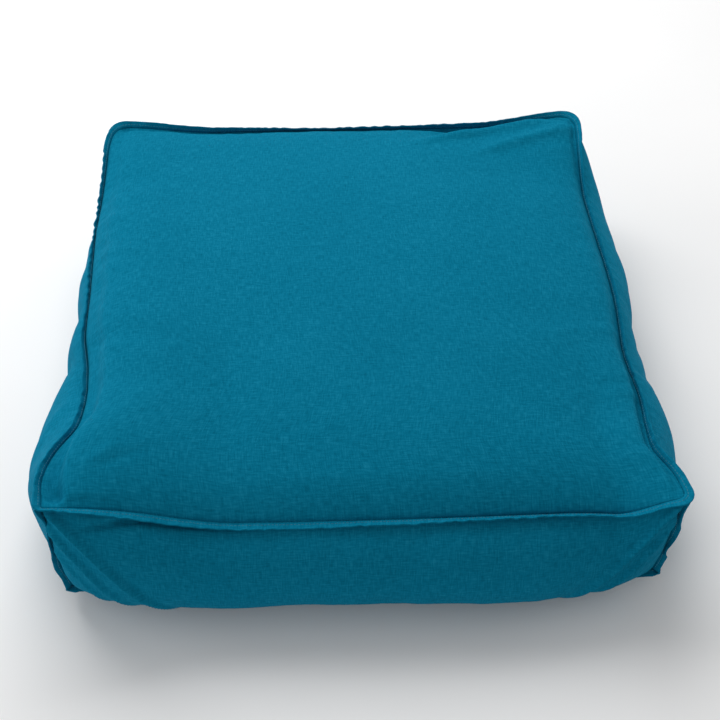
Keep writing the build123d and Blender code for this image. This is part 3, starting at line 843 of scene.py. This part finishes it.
# --- zip ---
def make_zip(tape_cloth, nylon, metal):
    """Woven tapes, the two interlocked halves of the coil, and the CAD's own metal parts."""
    for where, (low, high) in (("upper", UPPER_TAPE), ("lower", LOWER_TAPE)):
        x = np.linspace(high.x, low.x, 237)
        z = np.linspace(low.z, high.z, 9)
        grid = np.empty((len(x), len(z), 3))
        grid[..., 0], grid[..., 1], grid[..., 2] = x[:, None], high.y, z
        name = "zip_tape_" + where
        tape = shell(grid, high.x - x, z - low.z, high.y - low.y)
        made = piece(name, [tape], tape_cloth, "zip_tape", "cover", name)
    for where, sign, (low, high) in (("upper", 1, UPPER_COIL), ("lower", -1, LOWER_COIL)):
        turns = round((high.x - low.x) / COIL_PITCH)
        angle = np.linspace(0, 2 * math.pi * turns, 12 * turns + 1)
        outer = (high.z if sign > 0 else low.z) - sign * COIL_WIRE
        inner = ZIP_Z - sign * (COIL_LOCK - COIL_WIRE)
        middle, wide = (outer + inner) / 2, (outer - inner) / 2
        deep = (high.y - low.y) / 2 - COIL_WIRE
        shift = COIL_PITCH / 4 * sign
        x = low.x + COIL_PITCH / 2 + shift + (high.x - low.x - COIL_PITCH) * angle / angle[-1]
        path = np.stack([x, (low.y + high.y) / 2 + deep * np.cos(angle), middle + wide * np.sin(angle)], -1)
        tangent = unit(np.gradient(path, axis=0))
        side = unit(np.cross(tangent, np.array([1.0, 0, 0])))
        name = "zip_coil_" + where
        coil = tube(path, side, np.cross(tangent, side), COIL_WIRE, COIL_WIRE, steps=6)
        piece(name, [coil], nylon, "zip_coil", "cover", name)
    for name in ("zip_top_stop_upper", "zip_top_stop_lower", "zip_bottom_stop", "zip_slider", "zip_pull"):
        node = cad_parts[name]
        node.data.materials.clear()
        node.data.materials.append(metal)


# --- inner pad ---
def lowest_near(heights, reach):
    """The lowest of the heights within a few grid lines of each."""
    padded = np.pad(heights, reach, mode="edge")
    windows = np.lib.stride_tricks.sliding_window_view(padded, (2 * reach + 1, 2 * reach + 1))
    return windows.min((2, 3))


def inset(shape, gap, floor_gap):
    """The cover's shape drawn in by a gap, and by a smaller one over the floor, as grids and one mesh."""
    points, quads, ids = welded(shape)
    normals = np.zeros_like(points)
    for name, grid in settled_shape(grooved=False).items():
        np.add.at(normals, ids[name].ravel(), grid_normals(grid).reshape(-1, 3))
    normals = unit(normals)
    drawn = points - normals * gap * np.where(np.abs(normals).max(1) < 0.8, 1.35, 1)[:, None]
    top = ids["top"]
    drawn[top, 2] = np.minimum(drawn[top, 2], lowest_near(points[top, 2], 4) - 0.6 * gap)
    for side in range(4):
        drawn[ids[side], 2] = np.minimum(drawn[ids[side], 2], drawn[ids[side][:, -1:], 2])
    drawn[:, 2] = np.maximum(drawn[:, 2] - (gap - floor_gap) * smooth(-normals[:, 2])**3, floor_gap)
    return {name: drawn[grid] for name, grid in ids.items()}, drawn, quads


def make_pad(shape, case_cloth, fibre):
    """The filled inner pad: a plain white case, and its fibre filling as one closed soft form."""
    case, _, _ = inset(shape, CASE_GAP, CASE_FLOOR_GAP)
    flat = graded(COARSE_ALONG) * PAD
    up = np.linspace(0, BOXING, COARSE_UP + 1)
    for name in ("top", "bottom"):
        piece_name = "pad_case_" + name
        layer = shell(case[name], flat, flat, CASE_CLOTH)
        made = piece(piece_name, [layer], case_cloth, "pad_case", "cover", piece_name)
    boxing = [shell(case[side], flat + PAD * side, up, CASE_CLOTH) for side in range(4)]
    made = piece("pad_case_boxing", boxing, case_cloth, "pad_case", "cover", "pad_case_boxing")
    _, points, quads = inset(shape, FILLING_GAP, FILLING_FLOOR_GAP)
    part = (points, quads.tolist(), points[:, :2])
    made = piece("pad_filling", [part], fibre, "filling", "cover", "pad_filling")


# --- materials ---
class Shader:
    """A material's node tree with short ways to add to it."""

    def __init__(self, name):
        self.material = bpy.data.materials.new(name)
        self.material.use_nodes = True
        self.tree = self.material.node_tree
        self.surface = self.tree.nodes["Principled BSDF"]

    def add(self, kind, links=(), **settings):
        """A node, with its settings, and its inputs set to numbers or linked from other sockets."""
        node = self.tree.nodes.new("ShaderNode" + kind)
        for key, value in settings.items():
            setattr(node, key, value)
        for key, value in dict(links).items():
            self.give(node, key, value)
        return node

    def give(self, node, key, value):
        if isinstance(value, bpy.types.NodeSocket):
            self.tree.links.new(value, node.inputs[key])
        else:
            node.inputs[key].default_value = value

    def set(self, key, value):
        """One value all over the surface, on the shader's own socket."""
        self.surface.inputs[key].default_value = value

    def maths(self, operation, a, b=0.0):
        return self.add("Math", {0: a, 1: b}, operation=operation).outputs[0]

    def noise(self, coordinates, scale, detail=2.0, roughness=0.5):
        """Noise, 0 to 1, with its own scale along each axis."""
        placed = self.add("Mapping", {"Vector": coordinates, "Scale": scale}).outputs[0]
        inputs = {"Vector": placed, "Scale": 1.0, "Detail": detail, "Roughness": roughness}
        return self.add("TexNoise", inputs).outputs["Fac"]

    def mix_of(self, *weighted):
        """The sum of sockets, each times its weight."""
        total = 0.0
        for socket, weight in weighted:
            total = self.maths("ADD", self.maths("MULTIPLY", socket, weight), total)
        return total

    def colour(self, factor, *stops):
        """Colours the surface by a ramp through (place, colour) stops."""
        node = self.add("ValToRGB", {"Fac": factor})
        elements = node.color_ramp.elements
        while len(elements) < len(stops):
            elements.new(0.5)
        for element, (place, colour) in zip(elements, stops):
            element.position = place
            element.color = (*colour, 1)
        self.give(self.surface, "Base Color", node.outputs["Color"])

    def roughness(self, factor, at_zero, at_one):
        """Roughness of the surface where the factor is 0 and where it is 1."""
        spread = self.add("MapRange", {"Value": factor, "To Min": at_zero, "To Max": at_one})
        self.give(self.surface, "Roughness", spread.outputs[0])

    def bump(self, height, distance, strength=1.0):
        inputs = {"Height": height, "Distance": distance, "Strength": strength}
        self.give(self.surface, "Normal", self.add("Bump", inputs).outputs[0])

    def solid_place(self):
        return self.add("TexCoord").outputs["Object"]

    def cloth_place(self):
        return self.add("UVMap", uv_map="cloth").outputs[0]


def weave(shader, place, pitch):
    """Height of a plain weave: threads one way show over the other in a checkerboard."""
    x, y, _ = shader.add("SeparateXYZ", {0: place}).outputs
    across = shader.maths("SINE", shader.maths("MULTIPLY", x, math.pi / pitch))
    along = shader.maths("SINE", shader.maths("MULTIPLY", y, math.pi / pitch))
    checks = shader.maths("MULTIPLY", across, along)
    return shader.maths("MULTIPLY_ADD", checks, 0.5)


def woven_cloth(name, dark, base, light, pitch, slub, sheen, tint, depth):
    """Plain-woven cloth of uneven threads, with thick slubs both ways and a soft sheen."""
    shader = Shader(name)
    place = shader.cloth_place()
    fine = 1 / (1.6 * pitch)
    long = 1 / slub
    warp = shader.noise(place, (fine, long, 1), 1.0)
    weft = shader.noise(place, (long, fine, 1), 1.0)
    slubs_up = shader.noise(place, (fine / 2.2, long * 0.6, 1), 0.0)
    slubs_across = shader.noise(place, (long * 0.6, fine / 2.2, 1), 0.0)
    threads = shader.maths("MULTIPLY", shader.maths("ADD", warp, weft), 0.5)
    slubs = shader.maths("MAXIMUM", slubs_up, slubs_across)
    broad = shader.noise(place, (9, 9, 1), 3.0)
    tone = shader.mix_of((threads, 0.74), (slubs, 0.16), (broad, 0.10))
    shader.colour(tone, (0.36, dark), (0.51, base), (0.68, light))
    shader.roughness(threads, 0.92, 0.72)
    checks = weave(shader, place, pitch)
    relief = shader.mix_of((threads, 1.5), (checks, 0.35), (slubs, 1.2))
    shader.bump(relief, depth)
    shader.set("Specular IOR Level", 0.015)
    shader.set("Sheen Weight", sheen)
    shader.set("Sheen Roughness", 0.45)
    shader.set("Sheen Tint", (*tint, 1))
    return shader.material


def spun_thread():
    """Spun sewing thread: fine twisted plies."""
    shader = Shader("spun_thread")
    place = shader.solid_place()
    plies = shader.noise(place, (2600, 2600, 2600), 1.0)
    shader.colour(plies, (0.3, (0.004, 0.13, 0.21)), (0.7, (0.02, 0.24, 0.36)))
    shader.roughness(plies, 0.5, 0.75)
    shader.bump(plies, 0.0001)
    shader.set("Sheen Weight", 0.2)
    return shader.material


def woven_tape():
    """Herringbone zip tape."""
    shader = Shader("woven_tape")
    place = shader.cloth_place()
    x, y, _ = shader.add("SeparateXYZ", {0: place}).outputs
    zigzag = shader.maths("PINGPONG", y, 0.0012)
    slanted = shader.maths("ADD", x, zigzag)
    rib = shader.maths("SINE", shader.maths("MULTIPLY", slanted, 2 * math.pi / 0.0008))
    rib = shader.maths("MULTIPLY_ADD", rib, 0.5)
    mottle = shader.noise(place, (900, 900, 1), 2.0)
    tone = shader.maths("ADD", shader.maths("MULTIPLY", rib, 0.3), mottle)
    shader.colour(tone, (0.2, (0.002, 0.07, 0.12)), (0.9, (0.006, 0.14, 0.22)))
    shader.roughness(mottle, 0.65, 0.85)
    shader.bump(rib, 0.00015)
    return shader.material


def nylon_coil():
    """Dyed nylon monofilament, slightly cloudy, with fine drawing lines."""
    shader = Shader("nylon_coil")
    place = shader.solid_place()
    cloud = shader.noise(place, (350, 350, 350), 3.0)
    shader.colour(cloud, (0.3, (0.003, 0.09, 0.15)), (0.7, (0.01, 0.16, 0.25)))
    shader.roughness(cloud, 0.22, 0.4)
    shader.bump(shader.noise(place, (2500, 2500, 2500), 1.0), 0.00002)
    return shader.material


def satin_nickel():
    """Tumbled nickel plate: fine scratches, and darker dull patches from handling."""
    shader = Shader("satin_nickel")
    place = shader.solid_place()
    scratches = shader.noise(place, (300, 5200, 5200), 3.0, 0.6)
    patches = shader.noise(place, (180, 180, 180), 4.0)
    shader.colour(patches, (0.3, (0.30, 0.30, 0.30)), (0.65, (0.52, 0.51, 0.50)))
    shader.give(shader.surface, "Roughness", shader.mix_of((scratches, 0.22), (patches, 0.3)))
    shader.bump(scratches, 0.00002)
    shader.set("Metallic", 1.0)
    return shader.material


def fibre_filling():
    """Loose white polyester fibre."""
    shader = Shader("fibre_filling")
    place = shader.solid_place()
    strands = shader.noise(place, (400, 90, 400), 6.0, 0.7)
    shader.colour(strands, (0.3, (0.72, 0.72, 0.70)), (0.7, (0.92, 0.92, 0.90)))
    shader.roughness(strands, 0.8, 1.0)
    shader.bump(strands, 0.002)
    shader.set("Sheen Weight", 0.4)
    return shader.material


# --- stage, lights and camera ---
def pale_floor():
    """A plain floor in pale matt paint."""
    shader = Shader("pale_floor")
    grain = shader.noise(shader.solid_place(), (3, 3, 3), 2.0)
    shader.colour(grain, (0.3, (0.90, 0.90, 0.90)), (0.7, (0.92, 0.92, 0.92)))
    shader.set("Roughness", 0.9)
    shader.set("Specular IOR Level", 0.1)
    return shader.material


def make_stage():
    mesh = bpy.data.meshes.new("floor")
    reach = 7.0
    corners = [(-reach, -reach, 0), (reach, -reach, 0), (reach, reach, 0), (-reach, reach, 0)]
    mesh.from_pydata(corners, [], [(0, 1, 2, 3)])
    mesh.materials.append(pale_floor())
    floor = new_object("floor", mesh)
    floor.location.z = -0.0002


def area_light(name, place, towards, size, watts):
    light = bpy.data.lights.new(name, "AREA")
    light.shape = "RECTANGLE"
    light.size, light.size_y = size
    light.energy = watts
    lamp = new_object(name, light)
    lamp.location = place
    lamp.rotation_euler = (Vector(towards) - Vector(place)).to_track_quat("-Z", "Y").to_euler()


def make_lights():
    """A pale room, a broad softbox overhead behind the cushion, and weaker ones round it."""
    world = bpy.data.worlds.new("room")
    world.use_nodes = True
    room = world.node_tree.nodes["Background"].inputs
    room["Color"].default_value = (1, 1, 1, 1)
    room["Strength"].default_value = 0.40
    bpy.context.scene.world = world
    area_light("overhead", (-0.5, 1.2, 1.9), (0, 0.05, 0.1), (2.2, 1.4), 42)
    area_light("left_fill", (-2.1, 0.1, 0.9), (0, 0, 0.1), (1.2, 1.2), 7)
    area_light("right_fill", (2.1, 0.4, 0.5), (0, 0, 0.1), (1.2, 1.2), 8)
    area_light("front_fill", (-1.9, -1.6, 0.7), (0, -0.1, 0.1), (0.9, 0.9), 7)
    bpy.context.scene.view_settings.view_transform = "Standard"


def make_camera():
    """The photograph's view: from in front and well above, turned and tilted very slightly."""
    camera_data = bpy.data.cameras.new("camera")
    camera_data.lens = LENS
    camera = new_object("camera", camera_data)
    pitch, yaw, roll = (math.radians(angle) for angle in CAMERA_TURN)
    aim = Matrix.Rotation(-yaw, 4, "Z") @ Matrix.Rotation(math.pi / 2 - pitch, 4, "X")
    turn = aim @ Matrix.Rotation(roll, 4, "Z")
    camera.matrix_world = Matrix.Translation(CAMERA_PLACE) @ turn
    bpy.context.scene.camera = camera


# --- build ---
def build():
    make_camera()
    make_stage()
    make_lights()
    cover_cloth = woven_cloth(
        "slub_cotton", (0.0006, 0.122, 0.208), (0.0014, 0.157, 0.265), (0.0065, 0.204, 0.330),
        pitch=0.0008, slub=0.009, sheen=0.06, tint=(0.08, 0.7, 0.95), depth=0.00018)
    case_cloth = woven_cloth(
        "white_lining", (0.66, 0.65, 0.62), (0.80, 0.79, 0.76), (0.88, 0.87, 0.85),
        pitch=0.0006, slub=0.05, sheen=0.1, tint=(1, 1, 1), depth=0.0001)
    shape = settled_shape()
    shape = settled(shape)
    rear, seams, uprights = make_panels(shape, cover_cloth)
    make_rear(rear, seams, uprights, cover_cloth)
    make_threads(seams, uprights, spun_thread())
    make_zip(woven_tape(), nylon_coil(), satin_nickel())
    make_pad(shape, case_cloth, fibre_filling())


build()
